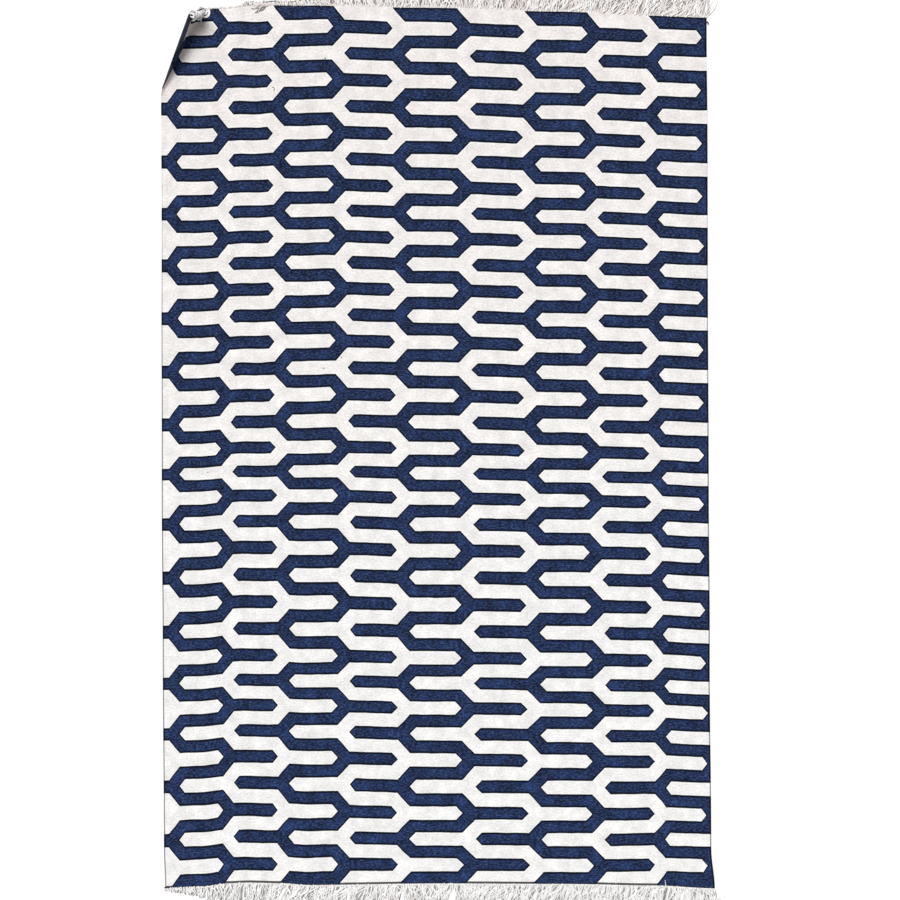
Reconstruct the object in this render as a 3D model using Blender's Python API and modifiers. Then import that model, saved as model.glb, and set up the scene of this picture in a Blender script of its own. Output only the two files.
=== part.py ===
# A flat-woven cotton rug, five feet by eight, lying on a floor with its top left corner turned up.
# X runs across the rug, Y along it with the head end at +Y, and Z is up.

import math
import random

import bmesh
import bpy
from mathutils import Matrix, Vector

# The cloth, as woven between its side edges and its two ends
CLOTH_WIDTH = 1.524
CLOTH_LENGTH = 2.438
CLOTH_THICKNESS = 0.003

# How far each side edge lies to the right of a straight line, at distances from the foot end
SIDE_EDGES = (
    {"along": 0.00, "left": 0.0106, "right": 0.0162},
    {"along": 0.11, "left": 0.0070, "right": 0.0064},
    {"along": 0.65, "left": 0.0036, "right": 0.0017},
    {"along": 1.10, "left": 0.0008, "right": -0.0006},
    {"along": 1.77, "left": 0.0006, "right": -0.0033},
    {"along": 2.44, "left": -0.0020, "right": -0.0067},
)

# How far each end of the cloth lies above a straight line, at distances from the left edge
END_EDGES = (
    {"across": 0.00, "foot": -0.0117, "head": -0.0017},
    {"across": 0.10, "foot": -0.0070, "head": -0.0022},
    {"across": 0.18, "foot": 0.0020, "head": 0.0010},
    {"across": 0.23, "foot": 0.0040, "head": 0.0056},
    {"across": 0.32, "foot": 0.0020, "head": 0.0128},
    {"across": 0.40, "foot": -0.0031, "head": 0.0059},
    {"across": 0.75, "foot": 0.0014, "head": 0.0006},
    {"across": 1.11, "foot": 0.0000, "head": -0.0100},
    {"across": 1.35, "foot": -0.0042, "head": -0.0210},
    {"across": 1.53, "foot": -0.0123, "head": -0.0267},
)

# Low places where the cloth stands a little off the floor: centre, reach each way, height
SWELLS = (
    {"x": 0.760, "y": 0.900, "reach_x": 0.140, "reach_y": 0.260, "height": 0.0040},
    {"x": -0.770, "y": 0.340, "reach_x": 0.110, "reach_y": 0.240, "height": 0.0030},
    {"x": 0.765, "y": -0.420, "reach_x": 0.120, "reach_y": 0.300, "height": 0.0030},
)

# The corner that stands up: where its crease meets the left edge and the head end
CREASE_DOWN_LEFT_EDGE = 0.255
CREASE_ALONG_HEAD_END = 0.129
CREASE_RADIUS = 0.009
CREASE_ANGLE = math.radians(94.0)
CREASE_STEPS = 6

# The grid of the cloth
CELLS_ACROSS = 22
CELLS_ALONG = 34

# The fringe: warp ends in locks, rooted in a narrow woven heading
FRINGE_GAP = 0.0003
HEADING_DEPTH = 0.004
FRINGE_THICKNESS = 0.0024
LOCK_LENGTH = 0.060
LOCK_LENGTH_SPREAD = 0.12
LOCK_PITCH = 0.0118
LOCK_ROOT_WIDTH = 0.0050
LOCK_TIP_WIDTH = 0.0026
LOCK_LEAN_SPREAD = math.radians(2.5)
LOCK_SWAY_SPREAD = math.radians(6.0)
LOCK_STATIONS = 3

# At the left end of the foot the locks are worn short
WORN_REACH = 0.110
WORN_SHORTEST = 0.30

# The lean of the locks to the right, read at parts of the way from the left end to the right end
FOOT_LEAN = (
    {"part": 0.00, "degrees": 14.0},
    {"part": 0.15, "degrees": -6.0},
    {"part": 0.40, "degrees": 8.0},
    {"part": 0.65, "degrees": -5.0},
    {"part": 0.85, "degrees": 6.0},
    {"part": 1.00, "degrees": 10.0},
)
HEAD_LEAN = (
    {"part": 0.00, "degrees": 4.0},
    {"part": 0.25, "degrees": -8.0},
    {"part": 0.50, "degrees": 7.0},
    {"part": 0.75, "degrees": 16.0},
    {"part": 1.00, "degrees": 26.0},
)

# The locks on the raised corner leave square to the end and droop, the highest ones most
CORNER_LOCK_LENGTH = 0.046
CORNER_LOCK_PITCH = 0.0105
CORNER_LOWEST_TURN = math.radians(30.0)
CORNER_EXTRA_TURN = math.radians(62.0)
CORNER_STATIONS = 4

NAVY = (0.022, 0.036, 0.098, 1.0)
UNDYED = (0.84, 0.82, 0.77, 1.0)


def read_table(table, key, value, place):
    """Value in the column at a place between two rows, eased so that the line has no corners."""
    if place <= table[0][key]:
        return table[0][value]
    for low, high in zip(table, table[1:]):
        if place <= high[key]:
            part = (place - low[key]) / (high[key] - low[key])
            eased = part * part * (3.0 - 2.0 * part)
            return low[value] + (high[value] - low[value]) * eased
    return table[-1][value]


def cloth_point(across, along):
    """Flat place of the cloth point at a part of the way across and along, both 0 to 1."""
    down = along * CLOTH_LENGTH
    left = -CLOTH_WIDTH / 2 + read_table(SIDE_EDGES, "along", "left", down)
    right = CLOTH_WIDTH / 2 + read_table(SIDE_EDGES, "along", "right", down)
    over = across * CLOTH_WIDTH
    foot = -CLOTH_LENGTH / 2 + read_table(END_EDGES, "across", "foot", over)
    head = CLOTH_LENGTH / 2 + read_table(END_EDGES, "across", "head", over)
    return Vector((left + (right - left) * across, foot + (head - foot) * along))


def end_point(across, along):
    """Place on an end of the cloth, on the straight between the two grid lines beside it."""
    column = min(int(across * CELLS_ACROSS), CELLS_ACROSS - 1)
    before = cloth_point(column / CELLS_ACROSS, along)
    after = cloth_point((column + 1) / CELLS_ACROSS, along)
    return before.lerp(after, across * CELLS_ACROSS - column)


CREASE_START = cloth_point(0.0, 1.0 - CREASE_DOWN_LEFT_EDGE / CLOTH_LENGTH)
CREASE_END = end_point(CREASE_ALONG_HEAD_END / CLOTH_WIDTH, 1.0)
CREASE_LINE = (CREASE_END - CREASE_START).normalized()
TO_CORNER = Vector((-CREASE_LINE.y, CREASE_LINE.x))
CREASE_ARC = CREASE_RADIUS * CREASE_ANGLE


def swell_height(x, y):
    """How far the cloth stands off the floor at a flat place."""
    height = 0.0
    for swell in SWELLS:
        far = math.hypot((x - swell["x"]) / swell["reach_x"], (y - swell["y"]) / swell["reach_y"])
        if far < 1.0:
            height += swell["height"] * (0.5 + 0.5 * math.cos(math.pi * far))
    return height


def lie_on_floor(flat):
    """Place in space of the middle of the cloth's thickness, with the corner turned up."""
    from_start = flat - CREASE_START
    beyond = from_start.dot(TO_CORNER)
    if beyond <= 0.0:
        return Vector((flat.x, flat.y, CLOTH_THICKNESS / 2 + swell_height(flat.x, flat.y)))
    turned = min(beyond, CREASE_ARC) / CREASE_RADIUS
    rest = max(beyond - CREASE_ARC, 0.0)
    out = CREASE_RADIUS * math.sin(turned) + rest * math.cos(CREASE_ANGLE)
    rise = CREASE_RADIUS * (1.0 - math.cos(turned)) + rest * math.sin(CREASE_ANGLE)
    foot = CREASE_START + CREASE_LINE * from_start.dot(CREASE_LINE) + TO_CORNER * out
    return Vector((foot.x, foot.y, CLOTH_THICKNESS / 2 + rise))


def make_material(name, colour, roughness):
    material = bpy.data.materials.new(name)
    material.use_nodes = True
    surface = material.node_tree.nodes["Principled BSDF"]
    surface.inputs["Base Color"].default_value = colour
    surface.inputs["Roughness"].default_value = roughness
    surface.inputs["Metallic"].default_value = 0.0
    return material


def make_cloth(collection):
    """The woven cloth: a grid cut along the crease, turned up there, and given its thickness."""
    shape = bmesh.new()
    bmesh.ops.create_grid(shape, x_segments=CELLS_ACROSS, y_segments=CELLS_ALONG, size=0.5)
    for vert in shape.verts:
        flat = cloth_point(vert.co.x + 0.5, vert.co.y + 0.5)
        vert.co = (flat.x, flat.y, 0.0)
    for step in range(CREASE_STEPS + 1):
        place = CREASE_START + TO_CORNER * (CREASE_ARC * step / CREASE_STEPS)
        everything = shape.verts[:] + shape.edges[:] + shape.faces[:]
        bmesh.ops.bisect_plane(
            shape,
            geom=everything,
            dist=0.00001,
            plane_co=(place.x, place.y, 0.0),
            plane_no=(TO_CORNER.x, TO_CORNER.y, 0.0),
        )
    for vert in shape.verts:
        vert.co = lie_on_floor(vert.co.xy)
    bmesh.ops.recalc_face_normals(shape, faces=shape.faces[:])

    mesh = bpy.data.meshes.new("woven_cloth")
    shape.to_mesh(mesh)
    shape.free()
    cloth = bpy.data.objects.new("woven_cloth", mesh)
    mesh.materials.append(make_material("navy_and_white_cotton", NAVY, 0.9))
    collection.objects.link(cloth)

    thickness = cloth.modifiers.new("thickness", "SOLIDIFY")
    thickness.thickness = CLOTH_THICKNESS
    thickness.offset = 0.0
    thickness.use_even_offset = True
    return cloth


def lock_sides(root, heading, turn, length, stations):
    """Right side, tip and left side of one tapered lock that leaves its root along a heading."""
    right = []
    left = []
    place = root
    step = length / stations
    for station in range(stations + 1):
        angle = heading + turn * station / stations
        way = Vector((math.cos(angle), math.sin(angle)))
        across = Vector((way.y, -way.x))
        width = LOCK_ROOT_WIDTH + (LOCK_TIP_WIDTH - LOCK_ROOT_WIDTH) * station / stations
        right.append(place + across * (width / 2))
        left.append(place - across * (width / 2))
        place = place + way * step
    return right + left[::-1]


def make_comb(name, collection, inner, outer, locks, material):
    """A heading strip from its inner to its outer line, with locks along the outer line.

    The inner line runs from left to right as seen with the locks pointing up, and the outer line
    and the locks are given from right to left.
    """
    outline = inner + outer[:1]
    for lock in locks:
        outline += lock
    outline += outer[1:]
    curve = bpy.data.curves.new(name, "CURVE")
    curve.dimensions = "2D"
    curve.fill_mode = "BOTH"
    curve.extrude = FRINGE_THICKNESS / 2
    spline = curve.splines.new("POLY")
    spline.points.add(len(outline) - 1)
    for point, place in zip(spline.points, outline):
        point.co = (place.x, place.y, 0.0, 1.0)
    spline.use_cyclic_u = True
    curve.materials.append(material)
    comb = bpy.data.objects.new(name, curve)
    collection.objects.link(comb)
    return comb


def make_floor_fringe(name, collection, end, first, last, lean_table, worn, material):
    """The fringe of one end, lying on the floor between two parts of the way across."""
    outward = 1.0 if end == "head" else -1.0
    along = 1.0 if end == "head" else 0.0
    span = (last - first) * CLOTH_WIDTH
    count = int(span / LOCK_PITCH)
    dice = random.Random(name)

    def edge(part, distance):
        point = end_point(first + (last - first) * part, along)
        return Vector((point.x, point.y + outward * distance))

    columns = [column / CELLS_ACROSS for column in range(CELLS_ACROSS + 1)]
    parts = [(column - first) / (last - first) for column in columns if first < column < last]
    inner = [edge(part, FRINGE_GAP) for part in [0.0] + parts + [1.0]]
    far = HEADING_DEPTH + FRINGE_GAP
    outer = [edge(1.0, far), edge(0.0, far)]
    locks = []
    for number in range(count):
        part = (number + 0.5) / count
        lean = math.radians(read_table(lean_table, "part", "degrees", part))
        lean += dice.uniform(-LOCK_LEAN_SPREAD, LOCK_LEAN_SPREAD)
        sway = dice.uniform(-LOCK_SWAY_SPREAD, LOCK_SWAY_SPREAD)
        length = LOCK_LENGTH * (1.0 + dice.uniform(-LOCK_LENGTH_SPREAD, LOCK_LENGTH_SPREAD))
        if worn:
            worn_part = min(part * span / WORN_REACH, 1.0)
            length *= WORN_SHORTEST + (1.0 - WORN_SHORTEST) * worn_part
        heading = outward * (math.pi / 2 - lean)
        locks.append(lock_sides(edge(part, far), heading, sway, length, LOCK_STATIONS))
    if end == "head":
        locks.reverse()
        comb = make_comb(name, collection, inner, outer, locks, material)
    else:
        comb = make_comb(name, collection, inner[::-1], outer[::-1], locks, material)
    comb.location.z = FRINGE_THICKNESS / 2
    return comb


def make_corner_fringe(name, collection, material):
    """The fringe of the raised corner, drawn in the plane in which the corner stands."""
    dice = random.Random(name)

    def in_plane(flat):
        from_start = flat - CREASE_START
        return Vector((from_start.dot(CREASE_LINE), from_start.dot(TO_CORNER) - CREASE_ARC))

    corner = in_plane(cloth_point(0.0, 1.0))
    crease = in_plane(CREASE_END)
    end_way = (crease - corner).normalized()
    outward = Vector((-end_way.y, end_way.x))
    if outward.x < 0.0:
        outward.negate()
    crease = crease - end_way * (crease.y / end_way.y) - end_way * LOCK_ROOT_WIDTH
    span = (crease - corner).length
    count = int(span / CORNER_LOCK_PITCH)
    far = HEADING_DEPTH + FRINGE_GAP
    inner = [crease + outward * FRINGE_GAP, corner + outward * FRINGE_GAP]
    outer = [corner + outward * far, crease + outward * far]
    start = math.atan2(outward.y, outward.x)
    locks = []
    for number in range(count):
        height = (count - number - 0.5) / count
        root = crease + (corner - crease) * height + outward * far
        turn = -(CORNER_LOWEST_TURN + CORNER_EXTRA_TURN * height)
        length = CORNER_LOCK_LENGTH * (1.0 + dice.uniform(-LOCK_LENGTH_SPREAD, LOCK_LENGTH_SPREAD))
        locks.append(lock_sides(root, start, turn, length, CORNER_STATIONS)[::-1])
    comb = make_comb(name, collection, inner, outer, locks, material)

    upright = TO_CORNER.to_3d() * math.cos(CREASE_ANGLE) + Vector((0.0, 0.0, math.sin(CREASE_ANGLE)))
    plane = Matrix.Identity(3)
    plane.col[0] = CREASE_LINE.to_3d()
    plane.col[1] = upright
    plane.col[2] = CREASE_LINE.to_3d().cross(upright)
    place = CREASE_START.to_3d() + TO_CORNER.to_3d() * (CREASE_RADIUS * math.sin(CREASE_ANGLE))
    place.z = CLOTH_THICKNESS / 2 + CREASE_RADIUS * (1.0 - math.cos(CREASE_ANGLE))
    comb.rotation_euler = plane.to_euler()
    comb.location = place
    return comb


def stand_on_middle(parts, collection):
    """Parent the parts to an empty, placed so that their box stands centred on the origin."""
    base = bpy.data.objects.new("rug_base", None)
    collection.objects.link(base)
    for part in parts:
        part.parent = base
    bpy.context.view_layer.update()
    seen = bpy.context.evaluated_depsgraph_get()
    places = []
    for part in parts:
        shown = part.evaluated_get(seen)
        places += [part.matrix_world @ vert.co for vert in shown.to_mesh().vertices]
        shown.to_mesh_clear()
    base.location.x = -(min(place.x for place in places) + max(place.x for place in places)) / 2
    base.location.y = -(min(place.y for place in places) + max(place.y for place in places)) / 2
    base.location.z = -min(place.z for place in places)


def main():
    for old in list(bpy.data.objects):
        bpy.data.objects.remove(old, do_unlink=True)
    collection = bpy.data.collections.new("cotton_rug")
    bpy.context.scene.collection.children.link(collection)

    undyed = make_material("undyed_cotton_warp", UNDYED, 0.85)
    turned_part = (CREASE_ALONG_HEAD_END + LOCK_ROOT_WIDTH) / CLOTH_WIDTH
    parts = [
        make_cloth(collection),
        make_floor_fringe("head_fringe", collection, "head", turned_part, 1.0, HEAD_LEAN, False, undyed),
        make_floor_fringe("foot_fringe", collection, "foot", 0.0, 1.0, FOOT_LEAN, True, undyed),
        make_corner_fringe("corner_fringe", collection, undyed),
    ]
    stand_on_middle(parts, collection)


main()
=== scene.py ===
# The looks of a flat-woven cotton rug: interlocking navy and off-white bars, and fringes of undyed warp.
# X runs across the rug, Y along it with the head end at +Y, and Z is up.

import math
import random

import bmesh
import bpy
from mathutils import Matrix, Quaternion, Vector, noise


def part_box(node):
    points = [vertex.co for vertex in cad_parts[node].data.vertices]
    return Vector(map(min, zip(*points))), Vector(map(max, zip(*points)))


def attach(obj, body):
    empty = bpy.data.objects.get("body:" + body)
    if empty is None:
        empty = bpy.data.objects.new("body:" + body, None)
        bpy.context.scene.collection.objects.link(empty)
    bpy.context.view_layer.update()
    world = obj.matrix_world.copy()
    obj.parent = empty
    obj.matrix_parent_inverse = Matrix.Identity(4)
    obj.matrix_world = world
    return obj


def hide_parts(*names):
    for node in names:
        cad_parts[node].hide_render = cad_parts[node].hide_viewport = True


bl_info = {
    "name": "Flat-woven cotton rug",
    "version": (1, 0, 0),
    "blender": (4, 5, 0),
    "location": "3D View > Sidebar > Rug",
    "description": "Weaves the cloth of a cotton rug, lays its fringes and lights it from above",
    "category": "Object",
}

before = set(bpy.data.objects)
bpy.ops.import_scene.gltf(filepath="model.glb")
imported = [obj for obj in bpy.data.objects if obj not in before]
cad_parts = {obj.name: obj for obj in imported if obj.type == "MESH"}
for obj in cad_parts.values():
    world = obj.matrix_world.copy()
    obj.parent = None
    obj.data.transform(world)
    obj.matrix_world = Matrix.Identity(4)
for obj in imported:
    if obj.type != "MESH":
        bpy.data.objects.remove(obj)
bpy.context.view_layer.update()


def table(columns, *rows):
    """Rows of values that are read by the names of their columns."""
    return [dict(zip(columns.split(), row)) for row in rows]


# The cloth, as woven between its side edges and its two ends
CLOTH_WIDTH = 1.524
CLOTH_LENGTH = 2.438

# How far each side edge lies to the right of a straight line, at distances from the foot end
SIDE_EDGES = table(
    "along left right",
    (0.00, 0.0106, 0.0162),
    (0.11, 0.0070, 0.0064),
    (0.65, 0.0036, 0.0017),
    (1.10, 0.0008, -0.0006),
    (1.77, 0.0006, -0.0033),
    (2.44, -0.0020, -0.0067),
)

# How far each end of the cloth lies above a straight line, at distances from the left edge
END_EDGES = table(
    "across foot head",
    (0.00, -0.0117, -0.0017),
    (0.10, -0.0070, -0.0022),
    (0.18, 0.0020, 0.0010),
    (0.23, 0.0040, 0.0056),
    (0.32, 0.0020, 0.0085),
    (0.40, -0.0031, 0.0070),
    (0.75, 0.0014, 0.0006),
    (1.11, 0.0, -0.0100),
    (1.35, -0.0042, -0.0210),
    (1.53, -0.0123, -0.0267),
)

# Low swells, where the cloth stands a little off the floor
SWELLS = table(
    "x y reach_x reach_y height",
    (0.760, 0.900, 0.140, 0.260, 0.0040),
    (-0.770, 0.340, 0.110, 0.240, 0.0030),
    (0.765, -0.420, 0.120, 0.300, 0.0030),
)

# The corner that stands up: where its crease meets the left edge and the head end
CREASE_DOWN_LEFT_EDGE = 0.255
CREASE_ALONG_HEAD_END = 0.129
CREASE_RADIUS = 0.009
CREASE_ANGLE = math.radians(94.0)
CREASE_STEPS = 10
CALM_REACH = 6.0 * CREASE_RADIUS

# Where the weaver changed from one colour to the other: the ten lines down the rug, as distances
# from the left edge, at distances from the head end
COLUMN_LINES = table(
    "from_head lines",
    (0.05, (0.031, 0.173, 0.330, 0.498, 0.664, 0.846, 1.034, 1.209, 1.377, 1.524)),
    (0.15, (0.031, 0.171, 0.326, 0.494, 0.664, 0.843, 1.030, 1.202, 1.373, 1.521)),
    (0.48, (0.029, 0.172, 0.328, 0.496, 0.663, 0.846, 1.026, 1.197, 1.366, 1.524)),
    (0.65, (0.028, 0.170, 0.328, 0.499, 0.666, 0.846, 1.028, 1.202, 1.376, 1.528)),
    (0.98, (0.034, 0.175, 0.330, 0.502, 0.668, 0.846, 1.028, 1.201, 1.372, 1.525)),
    (1.20, (0.034, 0.177, 0.332, 0.503, 0.671, 0.847, 1.028, 1.203, 1.374, 1.525)),
    (1.32, (0.035, 0.182, 0.337, 0.508, 0.673, 0.849, 1.034, 1.211, 1.381, 1.524)),
    (1.54, (0.034, 0.182, 0.336, 0.507, 0.671, 0.849, 1.031, 1.208, 1.379, 1.525)),
    (1.76, (0.031, 0.180, 0.337, 0.505, 0.670, 0.849, 1.034, 1.215, 1.381, 1.526)),
    (1.98, (0.032, 0.183, 0.335, 0.502, 0.671, 0.848, 1.034, 1.215, 1.387, 1.533)),
    (2.20, (0.030, 0.180, 0.333, 0.501, 0.667, 0.850, 1.034, 1.210, 1.386, 1.524)),
    (2.37, (0.028, 0.178, 0.329, 0.499, 0.665, 0.849, 1.034, 1.210, 1.380, 1.524)),
)

# How tightly the bars were beaten down: the distance of every fourth bar's middle from the head end,
# and rows that count the bars by it
FOURTH_BARS = (
    0.0570, 0.2037, 0.3510, 0.4975, 0.6400, 0.7845, 0.9294, 1.0773,
    1.2250, 1.3634, 1.5097, 1.6600, 1.8088, 1.9477, 2.0922, 2.2412,
)
BAR_ROWS = table(
    "from_head bar",
    (0.0, -1.5),
    *((place, 4.0 * number) for number, place in enumerate(FOURTH_BARS)),
    (2.3483, 63.0),
    (2.4380, 65.5),
)

# How far the bars run off those rows towards the foot: near the raised corner, at the left, at the
# right and at the right edge
BAR_DRIFT = table(
    "from_head tip left right edge",
    (0.09, -0.0060, 0.0045, 0.0010, -0.0010),
    (0.20, -0.0045, 0.0052, 0.0020, 0.0020),
    (0.53, 0.0, 0.0017, 0.0028, 0.0035),
    (0.65, 0.0, 0.0003, 0.0007, 0.0),
    (0.98, 0.0, 0.0045, 0.0035, 0.0020),
    (1.20, 0.0, 0.0031, 0.0042, 0.0020),
    (1.32, 0.0, -0.0035, 0.0014, 0.0),
    (1.45, 0.0, -0.0067, -0.0010, -0.0014),
    (1.70, 0.0, -0.0053, -0.0007, -0.0010),
    (1.98, 0.0, -0.0072, 0.0020, 0.0),
    (2.20, 0.0, -0.0098, -0.0007, -0.0063),
    (2.32, 0.0, -0.0056, -0.0007, -0.0090),
    (2.40, 0.0, 0.0, 0.0, -0.0090),
)

# Where across the rug each of those holds, and how far single columns are out of step with them
DRIFT_ACROSS = table(
    "across tip left right edge",
    (0.17, 1.0, 1.0, 0.0, 0.0),
    (0.26, 0.0, 1.0, 0.0, 0.0),
    (0.72, 0.0, 0.0, 0.0, 0.0),
    (1.14, 0.0, 0.0, 1.0, 0.0),
    (1.26, 0.0, 0.0, 1.0, 0.0),
    (1.48, 0.0, 0.0, 0.0, 1.0),
)
COLUMN_DRIFT = table(
    "across down",
    (0.07, 0.0),
    (0.17, 0.0008),
    (0.27, 0.0028),
    (0.37, -0.0003),
    (0.47, -0.0031),
    (0.57, -0.0010),
    (0.67, 0.0013),
    (0.77, 0.0018),
    (0.97, 0.0008),
    (1.07, 0.0022),
    (1.17, 0.0018),
    (1.27, -0.0005),
    (1.47, 0.0),
)

# The slant of a bar's end, as a part of a column for each bar that it steps down
BAR_END_SLANT = 0.195

# The rightmost column, past which only the navy selvedge is left, and the bars at both ends
LAST_COLUMN = 9
FIRST_BAR = -1.49
LAST_BAR = 65.49

# The dark closing picks at the foot end, and the edges of the cloth, with painted shade: on the white,
# fading out near the head end, and on the navy
CLOSING_PICKS = 0.0060
WHITE_EDGE_SHADE_WIDTH = 0.0034
DARK_EDGE = 0.0048
EDGE_SHADE_STARTS = 0.25
EDGE_SHADE_RUN = 0.90

# Painted warm shade on the white about the raised corner: how far it reaches on each side of its crease
CREASE_SHADE_REACH = 0.035

# Past its crease the raised corner is navy along the selvedge
CORNER_NAVY_WIDTH = 0.036
CORNER_NAVY_STARTS = 0.015

# How far the line where two colours meet reaches, in bars
JOIN_REACH = 0.16

# Unevenness of the yarn, as noises over a place that is squeezed across: streaks, grain, mottle and flecks
HEATHER = table(
    "squeeze apart scale detail share",
    (0.20, 0.0, 280.0, 1.0, 0.6),
    (0.70, 0.5, 230.0, 1.0, 1.0),
    (1.00, 1.5, 28.0, 3.0, 1.1),
    (0.45, 0.8, 270.0, 1.0, 1.0),
)
HEATHER_MIDDLE = 1.35
FLECK_LEAST = 0.46
FLECK_GAIN = 4.6

# The twist of the loose yarns, and how far the heather reaches round one
WARP_TWISTS_A_METRE = 210.0
THREAD_TWISTS_A_METRE = 260.0
HEATHER_ROUND = 0.004

# Colours beside those in the settings: flecks, the closing picks, a painted highlight and painted shade
# where wefts turn back, painted shade along the edges and about the raised corner's crease, in the gaps
# between wefts, in the twist's grooves and on warp ends that lie deep
WHITE_FLECK = (0.66, 0.62, 0.57, 1.0)
NAVY_FLECK = (0.130, 0.160, 0.290, 1.0)
WARP_FLECK = (0.55, 0.50, 0.43, 1.0)
THREAD_FLECK = (0.30, 0.28, 0.27, 1.0)
JOIN_HIGHLIGHT_WHITE = (0.97, 0.97, 0.97, 1.0)
NAVY_JOIN_AND_EDGE_SHADE = (0.0045, 0.0062, 0.0140, 1.0)
WHITE_EDGE_SHADE = (0.10, 0.10, 0.12, 1.0)
CREASE_SHADE_WHITE = (0.66, 0.53, 0.51, 1.0)
CLOSING_COLOUR = (0.012, 0.014, 0.020, 1.0)
WHITE_GAP_SHADE = (0.62, 0.58, 0.54, 1.0)
NAVY_GAP_SHADE = (0.006, 0.009, 0.02, 1.0)
WARP_GROOVE_SHADE = (0.40, 0.37, 0.33, 1.0)
WARP_SHADE = (0.105, 0.085, 0.075, 1.0)

# The grid of the cloth, with narrow cells along its edges, where the thickness rounds off
CELLS_ACROSS = 110
CELLS_ALONG = 176
EDGE_STEPS = (0.0012, 0.0035)
EDGE_THICKNESS = (0.92, 1.0)
BODY_THICKNESS = 0.92
EDGE_ROUNDING = 0.0006

# Soft ripples left from folding and rolling, and the small unevenness of a cloth that has been walked on
UNEVEN_A_METRE = 9.0
UNEVEN_HEIGHT = 0.0005
RIPPLES = table(
    "x y turn length width height",
    (-0.075, -0.10, 84.0, 0.62, 0.030, 0.0010),
    (-0.050, -0.16, 95.0, 0.40, 0.024, 0.0009),
    (0.240, 0.42, 12.0, 0.55, 0.040, 0.0008),
    (-0.430, -0.70, -8.0, 0.50, 0.045, 0.0008),
    (0.520, -0.25, 78.0, 0.70, 0.050, 0.0010),
)

# The lean of the fringe to the right, read at parts of the way from the left end to the right end
FOOT_LEAN = table(
    "part degrees",
    (0.00, 4.0),
    (0.10, -14.0),
    (0.30, -24.0),
    (0.50, -10.0),
    (0.65, -26.0),
    (0.85, -16.0),
    (1.00, -4.0),
)
HEAD_LEAN = table(
    "part degrees",
    (0.00, 4.0),
    (0.25, -14.0),
    (0.50, 12.0),
    (0.75, 22.0),
    (0.93, 34.0),
    (1.00, 6.0),
)

# How much of its length the fringe keeps, over the same way
FOOT_KEPT = table(
    "part kept",
    (0.00, 0.18),
    (0.04, 0.38),
    (0.09, 0.70),
    (0.13, 1.00),
)
HEAD_KEPT = table(
    "part kept",
    (0.00, 0.09),
    (0.06, 0.09),
    (0.08, 0.24),
    (0.18, 0.26),
    (0.21, 1.00),
)

# How dusty the yarns are, at most
HEAD_DUST = 1.0
FOOT_DUST = 0.3

# The warp ends lie over one another in layers; rise and spacing are in thicknesses and spacings of a yarn,
# and the lower layers carry painted shade
FRINGE_LAYERS = table(
    "rise depth curl reach spacing",
    (0.0, 1.0, 0.45, 1.00, 0.85),
    (0.8, 0.12, 0.9, 1.02, 1.25),
    (1.5, 0.0, 1.3, 0.94, 1.70),
)
YARN_STATIONS = 11
YARN_SIDES = 5
YARN_FLATNESS = 0.78
YARN_TAPER = 0.30
YARN_THICKNESS_SPREAD = (0.75, 1.20)
YARN_CURL_SPREAD = 0.75
YARN_CURL_TURNS = (4.0, 9.0)
YARN_TURN_SPREAD = math.radians(9.0)
YARN_CLUMP_SPREAD = math.radians(50.0)
YARN_CLUMPS_A_METRE = 34.0
YARN_MOST_TURN = math.radians(62.0)
# Patches where the fringe carries more painted shade
SHADE_PATCHES_A_METRE = 42.0
SHADE_PATCH_BASE = 0.95
YARN_SWAY_SPREAD = math.radians(34.0)
YARN_LENGTH_SPREAD = 0.16
YARN_TUCK = 0.0025
# Painted shade starts only this far from a yarn's root
UNSHADED_ROOT = 0.0055
ROOT_HEIGHT = 0.35
ROOT_DROP = 0.25
ROOT_BULK = 0.45
ROOT_GROWTH = 5.0

# The warp ends of the raised corner are short, thick and curled up in a tangle
CORNER_YARNS = 46
CORNER_YARN_SHARE = (0.50, 0.95)
CORNER_YARN_BULK = 1.25
CORNER_YARN_HEADING = (math.radians(-75.0), math.radians(25.0))
CORNER_HEADING_TURN = math.radians(145.0)
CORNER_CURL_RADIUS = (0.0055, 0.0110)
CORNER_CURL_GROWTH = 0.6
CORNER_FAN = 0.014
CORNER_LEAST_FAN = 0.003
CORNER_MOST_RISE = 0.004
CORNER_OVERRUN = 1.08
CORNER_TURN_GROWTH = 1.6
CORNER_RISE_SPREAD = 0.2
CORNER_TILT_SPREAD = 0.6
CORNER_THICKNESS_SPREAD = (0.75, 1.15)
CORNER_LENGTH_SPREAD = (0.6, 1.1)
CORNER_CURL_SPREAD = (0.6, 1.3)
CORNER_LEAST_CURL = 0.8
CORNER_SAG = 0.06
# Painted shade of the corner's yarns, one picked for each
CORNER_PAINTED_SHADES = (0.0, 0.0, 0.0, 0.0, 0.0, 0.10, 0.5)
CORNER_DUSTINESS = 0.2

# Warp ends that have flopped over the cloth: where each leaves from and its tip, from the cloth's middle,
# with the painted shade of each
FLOPPED_WARPS = table(
    "start tip bow depth thickness",
    ((-0.4650, 1.2300), (-0.5105, 1.2125), 0.0040, 0.85),
    ((-0.4660, 1.2320), (-0.5085, 1.2165), -0.0030, 0.20),
    ((-0.4690, 1.2310), (-0.4985, 1.2010), 0.0050, 1.00),
    ((-0.4720, 1.2320), (-0.4965, 1.2045), -0.0020, 0.15),
    ((-0.4760, 1.2310), (-0.4945, 1.2075), 0.0030, 0.90),
    ((-0.4600, 1.2310), (-0.4850, 1.2190), 0.0030, 0.75),
    ((-0.4500, 1.2320), (-0.4700, 1.2255), 0.0020, 0.70),
    ((0.6440, -1.2265), (0.6385, -1.2080), 0.0010, 0.00, 0.0022),
    ((0.5030, -1.2190), (0.5085, -1.1850), 0.0015, 0.15, 0.0018),
)

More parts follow.
